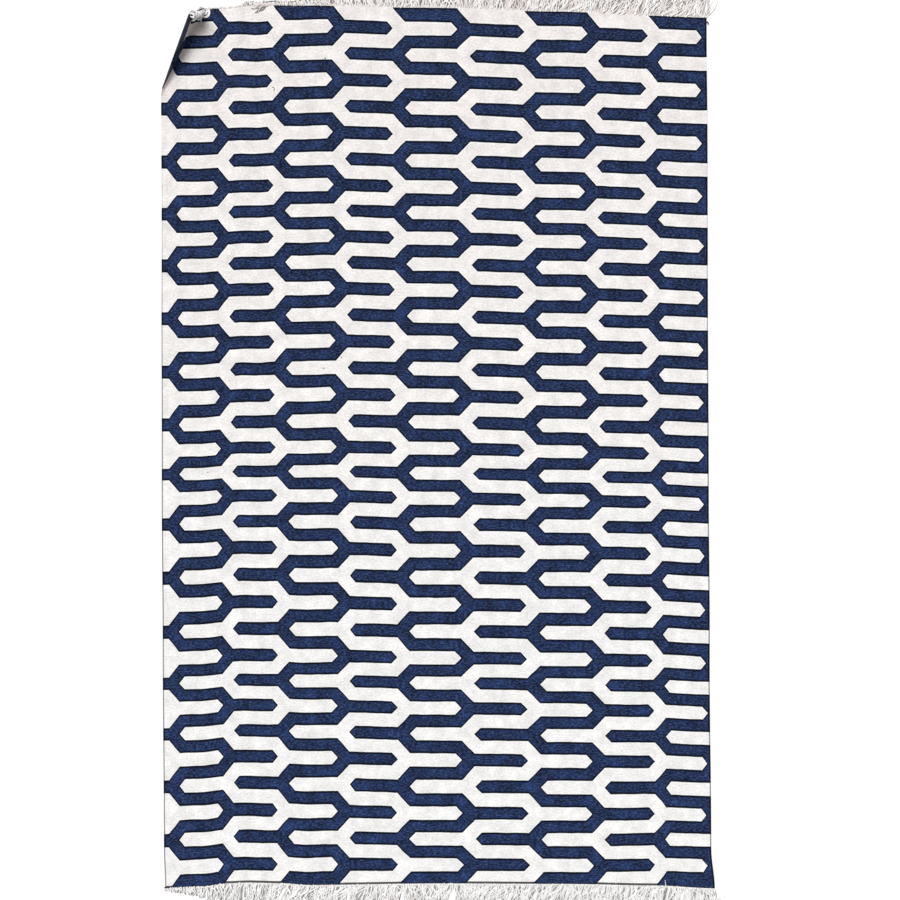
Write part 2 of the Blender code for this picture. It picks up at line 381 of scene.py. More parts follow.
# Dark threads caught on the rug, given the same way, with the thickness of each
CAUGHT_THREADS = table(
    "start tip bow thickness",
    ((-0.4540, 0.9975), (-0.4455, 0.9890), 0.0030, 0.0016),
    ((-0.3080, 1.0790), (-0.3045, 1.0765), 0.0006, 0.0024),
    ((-0.3118, 0.2165), (-0.3090, 0.2150), 0.0006, 0.0022),
    ((-0.2620, 0.2470), (-0.2600, 0.2455), 0.0004, 0.0020),
    ((-0.6340, -0.0730), (-0.6318, -0.0742), 0.0004, 0.0022),
    ((0.7540, 1.1800), (0.7620, 1.1740), 0.0010, 0.0034),
    ((-0.5330, 1.2268), (-0.5060, 1.2290), 0.0010, 0.0020),
    ((-0.4790, 1.2335), (-0.4180, 1.2355), 0.0020, 0.0018),
    ((-0.4180, 1.2357), (-0.3640, 1.2400), -0.0020, 0.0016),
    ((-0.7535, -1.2290), (-0.7395, -1.2283), 0.0004, 0.0036),
    ((0.7745, -1.2420), (0.7790, -1.2530), 0.0008, 0.0040),
)
THREAD_STATIONS = 7
THREAD_TAPER = 0.35
THREAD_BOW_TURN = 1.4 * math.pi
THREAD_LIFT = 0.6

# The camera of the photograph: what it looks at, in the cloth's own place, and how high it hangs
CAMERA_AIM = Vector((0.0412, -0.0113))
CAMERA_HEIGHT = 3.594
CAMERA_LENS = 51.6
CAMERA_REACH = 40.0

# The light overhead leans a little, and the floor lies just under the rug
OVERHEAD_LEAN = (math.radians(-8.0), math.radians(-11.0), 0.0)
FLOOR_GAP = 0.0002


def read_rows(rows, key, value, place, eased=True):
    """Value in a column at a place between two rows, eased so that the line has no corners, or straight."""
    if place <= rows[0][key]:
        return rows[0][value]
    for low, high in zip(rows, rows[1:]):
        if place <= high[key]:
            part = (place - low[key]) / (high[key] - low[key])
            if eased:
                part = part * part * (3.0 - 2.0 * part)
            return low[value] + (high[value] - low[value]) * part
    return rows[-1][value]


def cloth_point(across, along):
    """Flat place of the cloth point at a part of the way across and along, both 0 to 1."""
    down = along * CLOTH_LENGTH
    left = -CLOTH_WIDTH / 2 + read_rows(SIDE_EDGES, "along", "left", down)
    right = CLOTH_WIDTH / 2 + read_rows(SIDE_EDGES, "along", "right", down)
    over = across * CLOTH_WIDTH
    foot = -CLOTH_LENGTH / 2 + read_rows(END_EDGES, "across", "foot", over)
    head = CLOTH_LENGTH / 2 + read_rows(END_EDGES, "across", "head", over)
    return Vector((left + (right - left) * across, foot + (head - foot) * along))


CREASE_START = cloth_point(0.0, 1.0 - CREASE_DOWN_LEFT_EDGE / CLOTH_LENGTH)
CREASE_END = cloth_point(CREASE_ALONG_HEAD_END / CLOTH_WIDTH, 1.0)
CREASE_LINE = (CREASE_END - CREASE_START).normalized()
TO_CORNER = Vector((-CREASE_LINE.y, CREASE_LINE.x))
CREASE_ARC = CREASE_RADIUS * CREASE_ANGLE


def shift_to_frame():
    """How far the frame's origin, under the middle of the whole rug, lies from the cloth's own middle."""
    low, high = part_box("woven_cloth")
    foot_right = cloth_point(1.0, 0.0)
    return Vector((high.x - foot_right.x, low.y - foot_right.y, 0.0))


SHIFT = shift_to_frame()


def swell_height(x, y):
    """How far the cloth stands off the floor at a flat place, in its broad swells."""
    height = 0.0
    for swell in SWELLS:
        far = math.hypot((x - swell["x"]) / swell["reach_x"], (y - swell["y"]) / swell["reach_y"])
        if far < 1.0:
            height += swell["height"] * (0.5 + 0.5 * math.cos(math.pi * far))
    return height


def ripple_height(x, y):
    """Height of the soft ripples and of the small unevenness at a flat place."""
    height = 0.0
    for ripple in RIPPLES:
        turn = math.radians(ripple["turn"])
        off_x = x - ripple["x"]
        off_y = y - ripple["y"]
        run = (off_x * math.cos(turn) + off_y * math.sin(turn)) / (ripple["length"] / 2)
        side = (off_y * math.cos(turn) - off_x * math.sin(turn)) / ripple["width"]
        if abs(run) < 1.0:
            height += ripple["height"] * math.exp(-side * side) * (1.0 - run * run)
    uneven = noise.noise(Vector((x * UNEVEN_A_METRE, y * UNEVEN_A_METRE, 0.3)))
    return height + UNEVEN_HEIGHT * (1.0 + uneven)


def lie_on_floor(flat, thickness):
    """Place in space of the middle of the cloth's thickness, with the corner turned up."""
    middle = thickness / BODY_THICKNESS / 2
    from_start = flat - CREASE_START
    beyond = from_start.dot(TO_CORNER)
    if beyond <= 0.0:
        calm = min(-beyond / CALM_REACH, 1.0)
        rise = swell_height(flat.x, flat.y) + calm * ripple_height(flat.x, flat.y)
        return Vector((flat.x, flat.y, middle + rise))
    turned = min(beyond, CREASE_ARC) / CREASE_RADIUS
    rest = max(beyond - CREASE_ARC, 0.0)
    out = CREASE_RADIUS * math.sin(turned) + rest * math.cos(CREASE_ANGLE)
    rise = CREASE_RADIUS * (1.0 - math.cos(turned)) + rest * math.sin(CREASE_ANGLE)
    foot = CREASE_START + CREASE_LINE * from_start.dot(CREASE_LINE) + TO_CORNER * out
    return Vector((foot.x, foot.y, middle + rise))


def column_at(across, along):
    """Number of the column line at a part of the way across, with parts between two lines."""
    from_head = (1.0 - along) * CLOTH_LENGTH
    over = across * CLOTH_WIDTH
    low = COLUMN_LINES[0]
    high = COLUMN_LINES[-1]
    for before, after in zip(COLUMN_LINES, COLUMN_LINES[1:]):
        if before["from_head"] <= from_head <= after["from_head"]:
            low, high = before, after
    part = (from_head - low["from_head"]) / (high["from_head"] - low["from_head"])
    part = min(max(part, 0.0), 1.0)
    lines = [one + (two - one) * part for one, two in zip(low["lines"], high["lines"])]
    after = 1
    while after < len(lines) - 1 and lines[after] < over:
        after += 1
    return after + (over - lines[after - 1]) / (lines[after] - lines[after - 1])


def bar_at(across, along):
    """Number of the bar at a place, counted from the head, with parts of a bar."""
    from_head = (1.0 - along) * CLOTH_LENGTH
    over = across * CLOTH_WIDTH
    drift = read_rows(COLUMN_DRIFT, "across", "down", over, eased=False)
    for side in ("tip", "left", "right", "edge"):
        share = read_rows(DRIFT_ACROSS, "across", side, over, eased=False)
        drift += share * read_rows(BAR_DRIFT, "from_head", side, from_head, eased=False)
    return read_rows(BAR_ROWS, "from_head", "bar", from_head - drift, eased=False)


def grid_parts(cells, length):
    """Parts of the way from 0 to 1 for the grid's lines: even cells between narrow ones at both ends."""
    narrow = [step / length for step in EDGE_STEPS]
    even = [cell / cells for cell in range(1, cells)]
    return [0.0] + narrow + even + [1.0 - part for part in narrow[::-1]] + [1.0]


def edge_weight(across, along):
    """Share of the cloth's full thickness at a place: the selvedges and ends are rounded and firm."""
    nearest = min(across * CLOTH_WIDTH, (1.0 - across) * CLOTH_WIDTH)
    nearest = min(nearest, along * CLOTH_LENGTH, (1.0 - along) * CLOTH_LENGTH)
    if nearest < EDGE_STEPS[0] / 2:
        return EDGE_THICKNESS[0]
    if nearest < (EDGE_STEPS[0] + EDGE_STEPS[1]) / 2:
        return EDGE_THICKNESS[1]
    return BODY_THICKNESS


def weave_flat():
    """The cloth as a flat grid of faces, whose first UV map holds the parts of the way across and along."""
    shape = bmesh.new()
    parts = shape.loops.layers.uv.new("woven")
    across = grid_parts(CELLS_ACROSS, CLOTH_WIDTH)
    along = grid_parts(CELLS_ALONG, CLOTH_LENGTH)
    verts = [[shape.verts.new((*cloth_point(over, up), 0.0)) for over in across] for up in along]
    for up in range(len(along) - 1):
        for over in range(len(across) - 1):
            corners = ((over, up), (over + 1, up), (over + 1, up + 1), (over, up + 1))
            face = shape.faces.new([verts[row][column] for column, row in corners])
            face.smooth = True
            for loop, (column, row) in zip(face.loops, corners):
                loop[parts].uv = (across[column], along[row])
    return shape


def cut_crease(shape):
    """Cuts the flat cloth along the crease, finely enough to bend round its radius."""
    for step in range(CREASE_STEPS + 1):
        place = CREASE_START + TO_CORNER * (CREASE_ARC * step / CREASE_STEPS)
        bmesh.ops.bisect_plane(
            shape,
            geom=shape.verts[:] + shape.edges[:] + shape.faces[:],
            dist=0.00001,
            plane_co=(place.x, place.y, 0.0),
            plane_no=(TO_CORNER.x, TO_CORNER.y, 0.0),
        )


def make_cloth(settings, material):
    """The woven cloth, from a flat grid that is creased, laid on the floor and given its thickness."""
    shape = weave_flat()
    cut_crease(shape)
    woven = shape.loops.layers.uv["woven"]
    bars = shape.loops.layers.uv.new("bars")
    firm = shape.verts.layers.deform.new()
    for face in shape.faces:
        for loop in face.loops:
            across, along = loop[woven].uv
            loop.vert[firm][0] = edge_weight(across, along)
            loop[bars].uv = (column_at(across, along), bar_at(across, along))
            loop[woven].uv = (across * CLOTH_WIDTH, along * CLOTH_LENGTH)
    for vert in shape.verts:
        vert.co = lie_on_floor(vert.co.xy, settings.thickness) + SHIFT

    mesh = bpy.data.meshes.new("rug_cloth")
    shape.to_mesh(mesh)
    shape.free()
    cloth = bpy.data.objects.new("rug_cloth", mesh)
    cloth.vertex_groups.new(name="firmness")
    mesh.materials.append(material)
    bpy.context.scene.collection.objects.link(cloth)

    thickness = cloth.modifiers.new("thickness", "SOLIDIFY")
    thickness.thickness = settings.thickness / BODY_THICKNESS
    thickness.offset = 0.0
    thickness.use_even_offset = True
    thickness.vertex_group = "firmness"
    rounding = cloth.modifiers.new("rounding", "BEVEL")
    rounding.width = EDGE_ROUNDING
    rounding.segments = 2
    rounding.limit_method = "ANGLE"
    rounding.angle_limit = math.radians(60.0)
    return cloth


def add_tube(bundle, places, radii, shade):
    """Adds one yarn to a bundle: rings of points round its line, closed at both ends."""
    first = len(bundle["places"])
    way = (places[1] - places[0]).normalized()
    side = way.cross(Vector((0.0, 0.0, 1.0)))
    if side.length < 0.05:
        side = way.cross(Vector((1.0, 0.0, 0.0)))
    side.normalize()
    run = 0.0
    runs = []
    for number, (place, radius) in enumerate(zip(places, radii)):
        if number > 0:
            run += (place - places[number - 1]).length
        runs.append(run)
        before = places[max(number - 1, 0)]
        after = places[min(number + 1, len(places) - 1)]
        way = (after - before).normalized()
        side = (side - way * side.dot(way)).normalized()
        up = side.cross(way)
        for corner in range(YARN_SIDES):
            turn = 2.0 * math.pi * corner / YARN_SIDES
            out = side * math.cos(turn) + up * (math.sin(turn) * YARN_FLATNESS)
            bundle["places"].append(place + out * radius)
    for ring in range(len(places) - 1):
        for corner in range(YARN_SIDES):
            after = (corner + 1) % YARN_SIDES
            low = first + ring * YARN_SIDES
            high = low + YARN_SIDES
            bundle["faces"].append((low + corner, low + after, high + after, high + corner))
            left = corner / YARN_SIDES
            right = (corner + 1) / YARN_SIDES
            bundle["around"] += [(left, runs[ring]), (right, runs[ring])]
            bundle["around"] += [(right, runs[ring + 1]), (left, runs[ring + 1])]
            bundle["shade"] += [shade] * 4
    last = first + (len(places) - 1) * YARN_SIDES
    for start, order, far in ((first, range(YARN_SIDES - 1, -1, -1), 0.0), (last, range(YARN_SIDES), run)):
        bundle["faces"].append(tuple(start + corner for corner in order))
        bundle["around"] += [(corner / YARN_SIDES, far) for corner in order]
        bundle["shade"] += [shade] * YARN_SIDES


def new_bundle():
    """An empty bundle of yarns, to be filled by add_tube."""
    return {"places": [], "faces": [], "around": [], "shade": []}


def make_yarns(name, bundle, material):
    """One joined mesh from a bundle of yarns, with its UV map round and along each yarn."""
    mesh = bpy.data.meshes.new(name)
    mesh.from_pydata([place + SHIFT for place in bundle["places"]], [], bundle["faces"])
    around = mesh.uv_layers.new(name="around")
    shade = mesh.uv_layers.new(name="shade")
    for number, (place, tone) in enumerate(zip(bundle["around"], bundle["shade"])):
        around.data[number].uv = place
        shade.data[number].uv = tone
    mesh.polygons.foreach_set("use_smooth", [True] * len(mesh.polygons))
    mesh.materials.append(material)
    yarns = bpy.data.objects.new(name, mesh)
    bpy.context.scene.collection.objects.link(yarns)
    return yarns


def add_floor_yarn(bundle, dice, root, heading, length, layer, shade, settings, thickness):
    """Adds a yarn that leaves the cloth's end along a heading, drops to the floor and wanders there."""
    outward = math.copysign(math.pi / 2, heading)
    radius = settings.yarn_thickness / 2 * dice.uniform(*YARN_THICKNESS_SPREAD)
    sway = dice.uniform(-YARN_SWAY_SPREAD, YARN_SWAY_SPREAD) * layer["curl"]
    curl = dice.uniform(-YARN_CURL_SPREAD, YARN_CURL_SPREAD) * settings.curl * layer["curl"]
    phase = dice.uniform(0.0, 2.0 * math.pi)
    turns = dice.uniform(*YARN_CURL_TURNS)
    step = length / YARN_STATIONS
    place = Vector(root)
    places = []
    radii = []
    for station in range(YARN_STATIONS + 1):
        part = station / YARN_STATIONS
        drop = min(part / ROOT_DROP, 1.0)
        lift = radius + layer["rise"] * settings.yarn_thickness * (1.0 - 0.5 * part)
        height = thickness * ROOT_HEIGHT * (1.0 - drop) + lift * drop
        places.append(Vector((place.x, place.y, max(height, radius))))
        radii.append(radius * (1.0 - YARN_TAPER * part * part) * min(ROOT_BULK + part * ROOT_GROWTH, 1.0))
        angle = heading + sway * part + curl * math.sin(phase + turns * part)
        angle = min(max(angle, outward - YARN_MOST_TURN), outward + YARN_MOST_TURN)
        place.x += step * math.cos(angle)
        place.y += step * math.sin(angle)
    add_tube(bundle, places, radii, shade)


def make_floor_fringe(name, end, lean_table, kept_table, dust, settings, thickness, material):
    """The fringe of one end: layers of loose warp ends that lie on the floor."""
    outward = 1.0 if end == "head" else -1.0
    along = 1.0 if end == "head" else 0.0
    first = CREASE_ALONG_HEAD_END / CLOTH_WIDTH if end == "head" else 0.0
    dice = random.Random(name)
    bundle = new_bundle()
    for layer in FRINGE_LAYERS:
        count = int((1.0 - first) * CLOTH_WIDTH / (settings.yarn_spacing * layer["spacing"]))
        for number in range(count):
            part = (number + dice.random()) / count
            point = cloth_point(first + (1.0 - first) * part, along)
            clump = noise.noise(Vector((point.x * YARN_CLUMPS_A_METRE, 5.0 * layer["rise"], outward)))
            shade_patches = SHADE_PATCH_BASE + noise.noise(Vector((point.x * SHADE_PATCHES_A_METRE, 3.0, outward)))
            lean = math.radians(read_rows(lean_table, "part", "degrees", part)) + clump * YARN_CLUMP_SPREAD
            heading = outward * (math.pi / 2 - lean) + dice.gauss(0.0, YARN_TURN_SPREAD) * layer["curl"]
            root = (point.x, point.y - outward * YARN_TUCK, 0.0)
            kept = read_rows(kept_table, "part", "kept", part) * layer["reach"]
            length = settings.length * kept * (1.0 + dice.uniform(-YARN_LENGTH_SPREAD, YARN_LENGTH_SPREAD))
            # Painted shade of the yarn, more in the lower layers and in patches
            painted_yarn_shade = min(max(layer["depth"] * shade_patches, 0.0), 1.0)
            shade = (dust * dice.random(), painted_yarn_shade * dice.uniform(0.6, 1.0))
            add_floor_yarn(bundle, dice, root, heading, length, layer, shade, settings, thickness)
    return make_yarns(name, bundle, material)


def make_corner_fringe(name, settings, thickness, material):
    """The fringe of the raised corner, whose yarns curl up along its edge and flop over it."""
    dice = random.Random(name)
    bundle = new_bundle()
    inward = -TO_CORNER.to_3d()
    outward = CREASE_LINE.to_3d()
    for number in range(CORNER_YARNS):
        part = (number + 0.5) / CORNER_YARNS
        across = part * CORNER_OVERRUN * CREASE_ALONG_HEAD_END / CLOTH_WIDTH
        place = lie_on_floor(cloth_point(across, 1.0), thickness) - outward * YARN_TUCK
        end = place.y + YARN_TUCK + max(CORNER_FAN * (1.0 - part * 2.0), CORNER_LEAST_FAN)
        top = place.z + CORNER_MOST_RISE
        turned = CORNER_HEADING_TURN * min(part * CORNER_TURN_GROWTH, 1.0)
        turn = dice.uniform(*CORNER_YARN_HEADING) + turned
        way = outward * math.cos(turn) + inward * math.sin(turn)
        way.z += dice.uniform(-CORNER_RISE_SPREAD, CORNER_RISE_SPREAD)
        way.normalize()
        tilts = [dice.uniform(-CORNER_TILT_SPREAD, CORNER_TILT_SPREAD) for tilt in range(2)]
        axis = Vector((*tilts, -1.0)).normalized()
        radius = settings.yarn_thickness / 2 * CORNER_YARN_BULK * dice.uniform(*CORNER_THICKNESS_SPREAD)
        share = CORNER_YARN_SHARE[0] + (CORNER_YARN_SHARE[1] - CORNER_YARN_SHARE[0]) * part
        step = settings.length * share * dice.uniform(*CORNER_LENGTH_SPREAD) / YARN_STATIONS
        wider = CORNER_LEAST_CURL + CORNER_CURL_GROWTH * part
        curl = step / (dice.uniform(*CORNER_CURL_RADIUS) * wider)
        places = []
        radii = []
        for station in range(YARN_STATIONS + 1):
            places.append(place.copy())
            radii.append(radius * (1.0 - YARN_TAPER * (station / YARN_STATIONS) ** 2))
            way = Quaternion(axis, curl * dice.uniform(*CORNER_CURL_SPREAD)) @ way
            way.z -= CORNER_SAG
            way.normalize()
            place = place + way * step
            place.y = min(place.y, end)
            place.z = max(min(place.z, top), thickness + radius)
        # Painted shade of the yarn
        depth = dice.choice(CORNER_PAINTED_SHADES)
        add_tube(bundle, places, radii, (CORNER_DUSTINESS * dice.random(), depth))
    return make_yarns(name, bundle, material)


def make_loose_threads(name, rows, thickness, yarn_thickness, material):
    """Threads that lie on the cloth, each in a bow between its two ends."""
    bundle = new_bundle()
    for row in rows:
        start = Vector(row["start"])
        tip = Vector(row["tip"])
        side = (tip - start).orthogonal().normalized()
        radius = row.get("thickness", yarn_thickness) / 2
        places = []
        radii = []
        for station in range(THREAD_STATIONS + 1):
            part = station / THREAD_STATIONS
            flat = start.lerp(tip, part) + side * (row["bow"] * math.sin(THREAD_BOW_TURN * part))
            on_cloth = lie_on_floor(flat, thickness).z + thickness / 2
            lift = THREAD_LIFT * yarn_thickness * math.sin(math.pi * part) * (row.get("depth", 0.0) < 0.5)
            places.append(Vector((flat.x, flat.y, on_cloth + radius * THREAD_LIFT + lift)))
            radii.append(radius * (1.0 - THREAD_TAPER * part * part))
        dust = 0.9 if start.y > 0.0 else 0.1
        # The table's painted shade darkens the flopped warp ends that lie low
        add_tube(bundle, places, radii, (dust, row.get("depth", 0.0)))
    return make_yarns(name, bundle, material)


class Wire:
    """A value on its way through a node tree; sums on it add Math nodes."""

    def __init__(self, socket):
        self.socket = socket

    def __add__(self, other):
        return calc("ADD", self, other)

    def __radd__(self, other):
        return calc("ADD", other, self)

    def __sub__(self, other):
        return calc("SUBTRACT", self, other)

    def __rsub__(self, other):
        return calc("SUBTRACT", other, self)

    def __mul__(self, other):
        return calc("MULTIPLY", self, other)

    def __truediv__(self, other):
        return calc("DIVIDE", self, other)

    def __lt__(self, other):
        return calc("LESS_THAN", self, other)

    def __gt__(self, other):
        return calc("GREATER_THAN", self, other)


def feed(socket, value):
    """Gives a socket its value, or links it to the wire that brings the value."""
    if isinstance(value, Wire):
        socket.id_data.links.new(value.socket, socket)
    else:
        socket.default_value = value


def add_node(kind, values):
    """A new node in the tree that the wires among the values belong to."""
    tree = next(value.socket.id_data for value in values if isinstance(value, Wire))
    return tree.nodes.new(kind)


def calc(operation, *values):
    """Wire from one Math node on the given values."""
    node = add_node("ShaderNodeMath", values)
    node.operation = operation
    for socket, value in zip(node.inputs, values):
        feed(socket, value)
    return Wire(node.outputs[0])


def clamped(wire):
    """The same wire, kept between 0 and 1 by the Math node that it comes from."""
    wire.socket.node.use_clamp = True
    return wire


def mix_colours(factor, first, second, blend="MIX"):
    """Wire from one Mix node on two colours."""
    node = add_node("ShaderNodeMix", (factor, first, second))
    node.data_type = "RGBA"
    node.blend_type = blend
    feed(node.inputs["Factor"], factor)
    feed(node.inputs[6], first)
    feed(node.inputs[7], second)
    return Wire(node.outputs[2])


def join_xyz(x, y, z=0.0):
    """Wire from one Combine XYZ node."""
    node = add_node("ShaderNodeCombineXYZ", (x, y, z))
    for socket, value in zip(node.inputs, (x, y, z)):
        feed(socket, value)
    return Wire(node.outputs[0])


def split_uv(material, name):
    """The two numbers of a UV map."""
    tree = material.node_tree
    uv_map = tree.nodes.new("ShaderNodeUVMap")
    uv_map.uv_map = name
    split = tree.nodes.new("ShaderNodeSeparateXYZ")
    tree.links.new(uv_map.outputs["UV"], split.inputs[0])
    return Wire(split.outputs["X"]), Wire(split.outputs["Y"])


def noise_of(vector, scale, detail):
    """Value of one Noise Texture, about 0.5."""
    node = add_node("ShaderNodeTexNoise", [vector])
    feed(node.inputs["Vector"], vector)
    node.inputs["Scale"].default_value = scale
    node.inputs["Detail"].default_value = detail
    return Wire(node.outputs["Fac"])


def bump(height, distance, strength):
    """Normal of one Bump node over a height in metres times the distance."""
    node = add_node("ShaderNodeBump", [height])
    node.inputs["Strength"].default_value = strength
    node.inputs["Distance"].default_value = distance
    feed(node.inputs["Height"], height)
    return Wire(node.outputs["Normal"])


def new_group(name, inputs, outputs):
    """An empty shader node group, the wires of its named inputs and the sockets of its outputs."""
    tree = bpy.data.node_groups.new(name, "ShaderNodeTree")
    for label, default in inputs.items():
        kind = "NodeSocketFloat" if isinstance(default, float) else "NodeSocketColor"
        socket = tree.interface.new_socket(name=label, in_out="INPUT", socket_type=kind)
        socket.default_value = default
    for label, kind in outputs.items():
        tree.interface.new_socket(name=label, in_out="OUTPUT", socket_type=kind)
    given = tree.nodes.new("NodeGroupInput")
    made = tree.nodes.new("NodeGroupOutput")
    return tree, {label: Wire(given.outputs[label]) for label in inputs}, made.inputs


def place_group(group, **values):
    """Wires from a placed node group; an input's name is given with _ for each space."""
    node = add_node("ShaderNodeGroup", values.values())
    node.node_tree = group
    for label, value in values.items():
        feed(node.inputs[label.replace("_", " ")], value)
    return {socket.name: Wire(socket) for socket in node.outputs}


def bars_group():
    """Which of the two colours the weaver used, from the column and the bar.

    The ends of a bar slant in steps that repeat every four bars, so that each colour forms
    branching bars that lock into those of the other colour.
    """
    tree, given, made = new_group(
        "interlocking_bars", {"Column": 0.0, "Bar": 0.0}, {"Navy": "NodeSocketFloat"}
    )
    bar = calc("MINIMUM", calc("MAXIMUM", given["Bar"], FIRST_BAR), LAST_BAR)
    fold = calc("PINGPONG", bar, 2.0)
    lean = calc("ROUND", fold) * 1.5 - 0.5 - fold
    line = calc("ROUND", given["Column"])
    right = given["Column"] - line > lean * BAR_END_SLANT
    column = line - 1.0 + right
    odd = calc("PINGPONG", column + calc("ROUND", bar), 1.0)
    left_white = (column < 0.5) * (fold < 0.5)
    navy = (1.0 - odd) * (1.0 - left_white)
    feed(made["Navy"], calc("MAXIMUM", navy, column > LAST_COLUMN + 0.5))
    return tree


def bar_edges_group(bars):
    """The bars with the line where the colours meet, where the wefts of each turn back."""
    tree, given, made = new_group(
        "bars_and_joins",
        {"Column": 0.0, "Bar": 0.0, "Reach": 0.1},
        {"Navy": "NodeSocketFloat", "Join": "NodeSocketFloat"},
    )
    column, bar, reach = given["Column"], given["Bar"], given["Reach"]
    navy = place_group(bars, Column=column, Bar=bar)["Navy"]
    nearby = []
    for way in (1.0, -1.0):
        nearby.append(place_group(bars, Column=column, Bar=bar + reach * way)["Navy"])
        nearby.append(place_group(bars, Column=column + reach * (way * BAR_END_SLANT), Bar=bar)["Navy"])
    away = calc("ABSOLUTE", sum(nearby) / len(nearby) - navy)
    feed(made["Navy"], navy)
    feed(made["Join"], clamped(away * len(nearby)))
    return tree


def weave_group():
    """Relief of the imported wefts: each passes over one pair of warps and under the next."""
    tree, given, made = new_group(
        "packed_wefts",
        {"Across": 0.0, "Along": 0.0, "Warp Spacing": 0.0026, "Weft Spacing": 0.0012},
        {"Height": "NodeSocketFloat", "Gap": "NodeSocketFloat"},
    )
    weft = given["Along"] / given["Weft Spacing"]
    stagger = calc("PINGPONG", calc("FLOOR", weft), 1.0) * 0.5
    warp = given["Across"] / (given["Warp Spacing"] * 2.0) + stagger
    humps = []
    for part in (calc("FRACT", warp), calc("FRACT", weft)):
        off = part * 2.0 - 1.0
        humps.append(1.0 - off * off)
    height = calc("SQRT", humps[0] * humps[1])
    feed(made["Height"], height)
    feed(made["Gap"], clamped(1.0 - height))
    return tree


def heather_group():
    """Unevenness of spun and dyed cotton: streaks along the yarn, grain, a mottle and pale flecks."""
    tree, given, made = new_group(
        "heathered_cotton",
        {
            "Across": 0.0, "Along": 0.0, "Mottle": 0.2, "Flecks": 0.1,
            "Colour": (0.5, 0.5, 0.5, 1.0), "Fleck": (1.0, 1.0, 1.0, 1.0),
        },
        {"Colour": "NodeSocketColor"},
    )
    noises = []
    for kind in HEATHER:
        place = join_xyz(given["Across"] * kind["squeeze"], given["Along"], kind["apart"])
        noises.append(noise_of(place, kind["scale"], kind["detail"]) * kind["share"])
    streaks, grain, mottle, spots = noises
    uneven = (streaks + grain + mottle - HEATHER_MIDDLE) * given["Mottle"]
    bright = calc("POWER", math.e, uneven)
    shaded = mix_colours(1.0, given["Colour"], join_xyz(bright, bright, bright), "MULTIPLY")
    fleck = clamped(clamped(spots - FLECK_LEAST) * FLECK_GAIN) * given["Flecks"]
    feed(made["Colour"], mix_colours(fleck, shaded, given["Fleck"]))
    return tree


def make_groups():
    """The node groups that the materials place, each built once."""
    return {"joins": bar_edges_group(bars_group()), "weave": weave_group(), "heather": heather_group()}


def new_material(name, roughness):
    """A material and its shader."""
    material = bpy.data.materials.new(name)
    material.use_nodes = True
    shader = material.node_tree.nodes["Principled BSDF"]
    shader.inputs["Roughness"].default_value = roughness
    shader.inputs["Specular IOR Level"].default_value = 0.12
    return material, shader


def woven_material(settings, groups):
    """Weft-faced cotton in two colours, from the bars, the weave and the heather of the yarn."""
    material, shader = new_material("navy_and_white_cotton", 0.92)
    across, along = split_uv(material, "woven")
    column, bar = split_uv(material, "bars")

    bar_drift = noise_of(join_xyz(across, along), 19.0, 2.0) - 0.5
    side_drift = noise_of(join_xyz(along, across, 3.7), 27.0, 2.0) - 0.5
    joined = place_group(
        groups["joins"],
        Column=column + side_drift * (settings.bar_drift * BAR_END_SLANT),
        Bar=bar + bar_drift * settings.bar_drift,
        Reach=JOIN_REACH,
    )
    woven = place_group(
        groups["weave"], Across=across, Along=along,
        Warp_Spacing=settings.warp_spacing, Weft_Spacing=settings.weft_spacing,
    )

    from_foot = clamped(along / CLOTH_LENGTH)
    warm = calc("POWER", from_foot, 1.5)
    white = mix_colours(warm, tuple(settings.white), tuple(settings.worn_white))
    # Painted highlight: the white is lightened along the lines where the colours meet
    white = mix_colours(joined["Join"] * 0.6, white, JOIN_HIGHLIGHT_WHITE)
    navy = mix_colours(from_foot, tuple(settings.navy), tuple(settings.worn_navy))
    heather = {"group": groups["heather"], "Across": across, "Along": along}
    white = place_group(**heather, Colour=white, Fleck=WHITE_FLECK, Mottle=0.47, Flecks=0.055)["Colour"]
    navy = place_group(**heather, Colour=navy, Fleck=NAVY_FLECK, Mottle=2.8, Flecks=0.34)["Colour"]

    beside = calc("MINIMUM", across, CLOTH_WIDTH - across)
    at_edge = calc("MINIMUM", beside, CLOTH_LENGTH - along) < DARK_EDGE
    # Painted shade: the navy is darkened along the lines where the colours meet and along the cloth's edges
    painted_navy_shade = calc("MAXIMUM", joined["Join"], at_edge) * 0.92
    navy = mix_colours(painted_navy_shade, navy, NAVY_JOIN_AND_EDGE_SHADE)
    # Painted shade: the white is darkened along the side edges, fading out towards the head end
    edge_shade = clamped((CLOTH_LENGTH - EDGE_SHADE_STARTS - along) / EDGE_SHADE_RUN)
    white = mix_colours((beside < WHITE_EDGE_SHADE_WIDTH) * edge_shade * 0.80, white, WHITE_EDGE_SHADE)

    crease_at = (CLOTH_LENGTH - CREASE_DOWN_LEFT_EDGE) * TO_CORNER.y
    past_crease = across * TO_CORNER.x + along * TO_CORNER.y - crease_at
    # Painted warm shade on the white on both sides of the raised corner's crease
    crease_shade = clamped((past_crease + CREASE_SHADE_REACH) / (CREASE_SHADE_REACH * 2.0))
    white = mix_colours(crease_shade * 0.5, white, CREASE_SHADE_WHITE)
    colour = mix_colours(joined["Navy"], white, navy)
    at_corner = (past_crease > CORNER_NAVY_STARTS) * (across < CORNER_NAVY_WIDTH)
    colour = mix_colours(at_corner, colour, navy)

    last_picks = along < (1.0 - joined["Navy"] * 0.6) * CLOSING_PICKS
    colour = mix_colours(last_picks * 0.95, colour, CLOSING_COLOUR)
    # Painted shade in the gaps between the wefts
    gap_shade = mix_colours(joined["Navy"], WHITE_GAP_SHADE, NAVY_GAP_SHADE)
    colour = mix_colours(woven["Gap"] * 0.16, colour, gap_shade)
    feed(shader.inputs["Base Color"], colour)
    feed(shader.inputs["Normal"], bump(woven["Height"] - joined["Join"] * 0.6, 0.0006, 0.8))
    return material


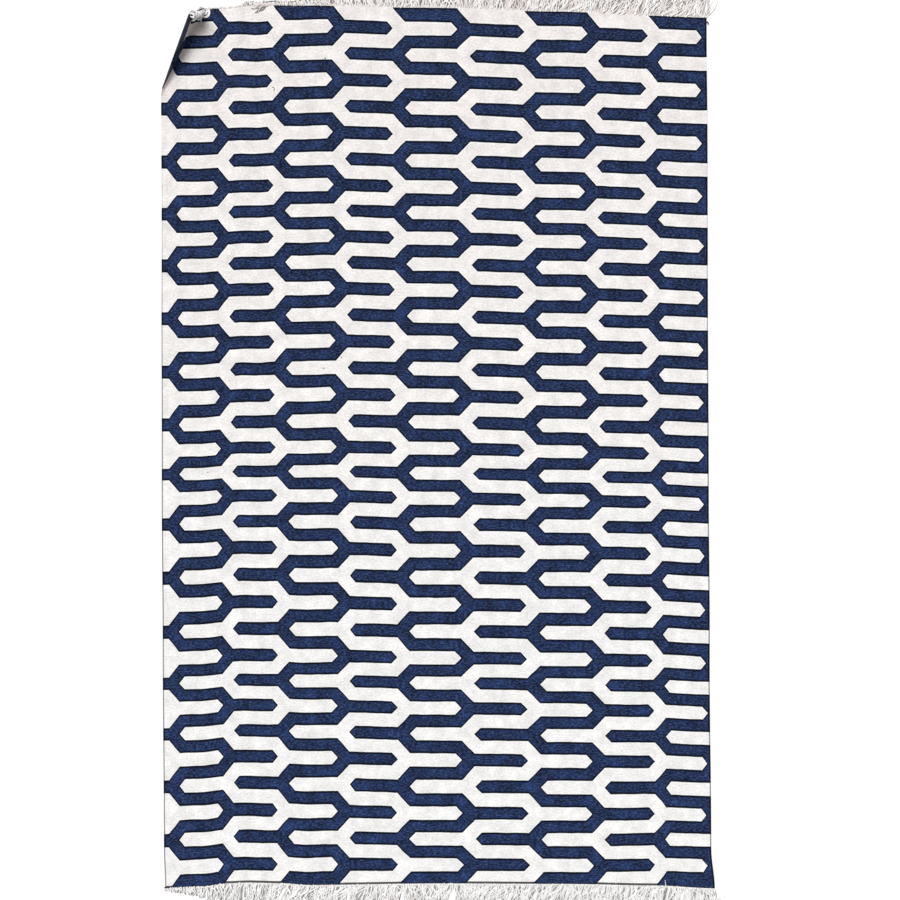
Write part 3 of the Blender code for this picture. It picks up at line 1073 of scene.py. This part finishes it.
def warp_material(settings, groups):
    """Undyed twisted cotton, with painted shade in the grooves of its twist and on yarns that lie deep in
    the fringe.
    """
    material, shader = new_material("undyed_twisted_cotton", 0.88)
    around, run = split_uv(material, "around")
    dust, depth = split_uv(material, "shade")
    ply = calc("PINGPONG", around * 2.0 + run * WARP_TWISTS_A_METRE, 0.5) * 2.0
    colour = place_group(
        groups["heather"], Across=around * HEATHER_ROUND + dust * 9.0, Along=run,
        Colour=mix_colours(dust, tuple(settings.undyed), tuple(settings.dusty)),
        Fleck=WARP_FLECK, Mottle=0.3, Flecks=0.04,
    )["Colour"]
    # Painted shade in the grooves of the twist
    colour = mix_colours((1.0 - ply) * 0.07, colour, WARP_GROOVE_SHADE)
    # Painted shade on yarns that lie deep in the fringe, starting a little past the root
    beyond = clamped((run - UNSHADED_ROOT) / UNSHADED_ROOT)
    colour = mix_colours(depth * beyond * 0.85, colour, WARP_SHADE)
    feed(shader.inputs["Base Color"], colour)
    feed(shader.inputs["Normal"], bump(ply, 0.0004, 0.5))
    return material


def thread_material(settings, groups):
    """Dark spun cotton of the threads that are caught on the cloth."""
    material, shader = new_material("dark_caught_cotton", 0.9)
    around, run = split_uv(material, "around")
    colour = place_group(
        groups["heather"], Across=around * HEATHER_ROUND, Along=run,
        Colour=tuple(settings.caught), Fleck=THREAD_FLECK, Mottle=1.2, Flecks=0.10,
    )["Colour"]
    feed(shader.inputs["Base Color"], colour)
    ply = calc("PINGPONG", around + run * THREAD_TWISTS_A_METRE, 0.5)
    feed(shader.inputs["Normal"], bump(ply, 0.0003, 0.6))
    return material


def floor_material(settings):
    """Plain pale floor."""
    material, shader = new_material("pale_floor", 0.9)
    shader.inputs["Base Color"].default_value = tuple(settings.floor_colour)
    return material


# What all the lengths and all the colours among the settings share
LENGTH = {"precision": 4, "unit": "LENGTH"}
COLOUR = {"size": 4, "min": 0.0, "max": 1.0, "subtype": "COLOR"}


class RugClothSettings(bpy.types.PropertyGroup):
    thickness: bpy.props.FloatProperty(
        name="Thickness", description="Thickness of the woven cloth",
        default=0.003, min=0.001, max=0.006, **LENGTH,
    )
    warp_spacing: bpy.props.FloatProperty(
        name="Warp Spacing", description="Distance between two warps across the cloth",
        default=0.0026, **LENGTH,
    )
    weft_spacing: bpy.props.FloatProperty(
        name="Weft Spacing", description="Distance between two packed wefts along the cloth",
        default=0.0012, **LENGTH,
    )
    bar_drift: bpy.props.FloatProperty(
        name="Bar Drift", description="How far a bar wanders from its even row, in bars",
        default=0.10, min=0.0, max=1.0, subtype="FACTOR",
    )
    navy: bpy.props.FloatVectorProperty(
        name="Navy", description="Dyed weft at the foot end",
        default=(0.0093, 0.0240, 0.0815, 1.0), **COLOUR,
    )
    worn_navy: bpy.props.FloatVectorProperty(
        name="Worn Navy", description="Dyed weft at the head end",
        default=(0.0088, 0.0212, 0.0685, 1.0), **COLOUR,
    )
    white: bpy.props.FloatVectorProperty(
        name="White", description="Bleached weft at the foot end",
        default=(0.955, 0.948, 0.936, 1.0), **COLOUR,
    )
    worn_white: bpy.props.FloatVectorProperty(
        name="Worn White", description="Bleached weft at the head end, a little warmer",
        default=(0.915, 0.862, 0.847, 1.0), **COLOUR,
    )


class RugFringeSettings(bpy.types.PropertyGroup):
    length: bpy.props.FloatProperty(
        name="Length", description="Length of a full warp end beyond the cloth",
        default=0.062, **LENGTH,
    )
    yarn_thickness: bpy.props.FloatProperty(
        name="Yarn Thickness", description="Thickness of one warp end",
        default=0.0038, **LENGTH,
    )
    yarn_spacing: bpy.props.FloatProperty(
        name="Yarn Spacing", description="Distance between two warp ends of one layer",
        default=0.0043, **LENGTH,
    )
    curl: bpy.props.FloatProperty(
        name="Curl", description="How much the warp ends wander as they lie",
        default=1.0, min=0.0, max=3.0,
    )
    undyed: bpy.props.FloatVectorProperty(
        name="Undyed", description="Clean warp",
        default=(0.98, 0.98, 0.975, 1.0), **COLOUR,
    )
    dusty: bpy.props.FloatVectorProperty(
        name="Dusty", description="Warp that has picked up dust",
        default=(0.87, 0.785, 0.755, 1.0), **COLOUR,
    )
    caught: bpy.props.FloatVectorProperty(
        name="Caught Thread", description="Dark thread caught on the cloth",
        default=(0.035, 0.034, 0.045, 1.0), **COLOUR,
    )


class RugStageSettings(bpy.types.PropertyGroup):
    floor_colour: bpy.props.FloatVectorProperty(
        name="Floor", description="Colour of the floor",
        default=(0.96, 0.96, 0.96, 1.0), **COLOUR,
    )
    floor_reach: bpy.props.FloatProperty(
        name="Floor Reach", description="Half the width of the floor",
        default=16.0, unit="LENGTH",
    )
    overhead: bpy.props.FloatProperty(
        name="Overhead Light", description="Strength of the broad light overhead",
        default=2.8, min=0.0,
    )
    overhead_spread: bpy.props.FloatProperty(
        name="Overhead Spread", description="Angle over which the light overhead is spread",
        default=math.radians(34.0), subtype="ANGLE",
    )
    room: bpy.props.FloatProperty(
        name="Room Light", description="Strength of the even light of the room",
        default=0.24, min=0.0,
    )


class RUG_OT_weave_cloth(bpy.types.Operator):
    """Weave the rug's cloth and lay it on the floor with its corner turned up"""

    bl_idname = "rug.weave_cloth"
    bl_label = "Weave Cloth"

    def execute(self, context):
        settings = context.scene.rug_cloth
        cloth = make_cloth(settings, woven_material(settings, make_groups()))
        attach(cloth, "root")
        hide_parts("woven_cloth")
        return {"FINISHED"}


class RUG_OT_add_loose_threads(bpy.types.Operator):
    """Lay the warp ends that have flopped over the cloth, and the dark threads caught on it"""

    bl_idname = "rug.add_loose_threads"
    bl_label = "Add Loose Threads"

    def execute(self, context):
        settings = context.scene.rug_fringe
        thickness = context.scene.rug_cloth.thickness
        yarn = settings.yarn_thickness
        groups = {"heather": bpy.data.node_groups["heathered_cotton"]}
        undyed = warp_material(settings, groups)
        dark = thread_material(settings, groups)
        flopped = make_loose_threads("flopped_warps", FLOPPED_WARPS, thickness, yarn, undyed)
        caught = make_loose_threads("caught_threads", CAUGHT_THREADS, thickness, yarn, dark)
        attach(flopped, "root")
        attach(caught, "root")
        return {"FINISHED"}


class RUG_OT_lay_fringes(bpy.types.Operator):
    """Lay the warp ends beyond both ends of the cloth and over its raised corner"""

    bl_idname = "rug.lay_fringes"
    bl_label = "Lay Fringes"

    def execute(self, context):
        settings = context.scene.rug_fringe
        thickness = context.scene.rug_cloth.thickness
        material = bpy.data.materials["undyed_twisted_cotton"]
        shared = (settings, thickness, material)
        head = make_floor_fringe("head_yarns", "head", HEAD_LEAN, HEAD_KEPT, HEAD_DUST, *shared)
        foot = make_floor_fringe("foot_yarns", "foot", FOOT_LEAN, FOOT_KEPT, FOOT_DUST, *shared)
        corner = make_corner_fringe("corner_yarns", *shared)
        for yarns, node in ((head, "head_fringe"), (foot, "foot_fringe"), (corner, "corner_fringe")):
            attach(yarns, "root")
            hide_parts(node)
        return {"FINISHED"}


class RUG_OT_set_stage(bpy.types.Operator):
    """Set the pale floor, the soft light overhead and the camera that looks straight down"""

    bl_idname = "rug.set_stage"
    bl_label = "Set Stage"

    def execute(self, context):
        settings = context.scene.rug_stage
        reach = settings.floor_reach
        mesh = bpy.data.meshes.new("floor")
        corners = [(-reach, -reach, 0.0), (reach, -reach, 0.0), (reach, reach, 0.0), (-reach, reach, 0.0)]
        mesh.from_pydata(corners, [], [(0, 1, 2, 3)])
        mesh.materials.append(floor_material(settings))
        floor = bpy.data.objects.new("floor", mesh)
        floor.location.z = -FLOOR_GAP
        context.scene.collection.objects.link(floor)

        world = bpy.data.worlds.new("room")
        world.use_nodes = True
        world.node_tree.nodes["Background"].inputs["Color"].default_value = (1.0, 1.0, 1.0, 1.0)
        world.node_tree.nodes["Background"].inputs["Strength"].default_value = settings.room
        context.scene.world = world

        light = bpy.data.lights.new("overhead", "SUN")
        light.energy = settings.overhead
        light.angle = settings.overhead_spread
        lamp = bpy.data.objects.new("overhead", light)
        lamp.rotation_euler = OVERHEAD_LEAN
        context.scene.collection.objects.link(lamp)

        lens = bpy.data.cameras.new("camera")
        lens.lens = CAMERA_LENS
        lens.clip_end = CAMERA_REACH
        camera = bpy.data.objects.new("camera", lens)
        aim = CAMERA_AIM.to_3d() + SHIFT
        camera.location = (aim.x, aim.y, CAMERA_HEIGHT)
        context.scene.collection.objects.link(camera)
        bpy.context.scene.camera = camera
        context.scene.view_settings.view_transform = "Standard"
        return {"FINISHED"}


class RUG_PT_sidebar(bpy.types.Panel):
    """Steps that make the rug, and the sizes and colours that they use"""

    bl_label = "Cotton Rug"
    bl_idname = "RUG_PT_sidebar"
    bl_space_type = "VIEW_3D"
    bl_region_type = "UI"
    bl_category = "Rug"

    def draw(self, context):
        scene = context.scene
        for operator, settings in (
            ("rug.weave_cloth", scene.rug_cloth),
            ("rug.add_loose_threads", None),
            ("rug.lay_fringes", scene.rug_fringe),
            ("rug.set_stage", scene.rug_stage),
        ):
            box = self.layout.box()
            box.operator(operator)
            for name in settings.__annotations__ if settings else ():
                box.prop(settings, name)


CLASSES = (
    RugClothSettings,
    RugFringeSettings,
    RugStageSettings,
    RUG_OT_weave_cloth,
    RUG_OT_add_loose_threads,
    RUG_OT_lay_fringes,
    RUG_OT_set_stage,
    RUG_PT_sidebar,
)


def register():
    for each in CLASSES:
        bpy.utils.register_class(each)
    bpy.types.Scene.rug_cloth = bpy.props.PointerProperty(type=RugClothSettings)
    bpy.types.Scene.rug_fringe = bpy.props.PointerProperty(type=RugFringeSettings)
    bpy.types.Scene.rug_stage = bpy.props.PointerProperty(type=RugStageSettings)


def unregister():
    del bpy.types.Scene.rug_stage
    del bpy.types.Scene.rug_fringe
    del bpy.types.Scene.rug_cloth
    for each in reversed(CLASSES):
        bpy.utils.unregister_class(each)


def main():
    register()
    bpy.ops.rug.weave_cloth()
    bpy.ops.rug.add_loose_threads()
    bpy.ops.rug.lay_fringes()
    bpy.ops.rug.set_stage()


if __name__ == "__main__":
    main()
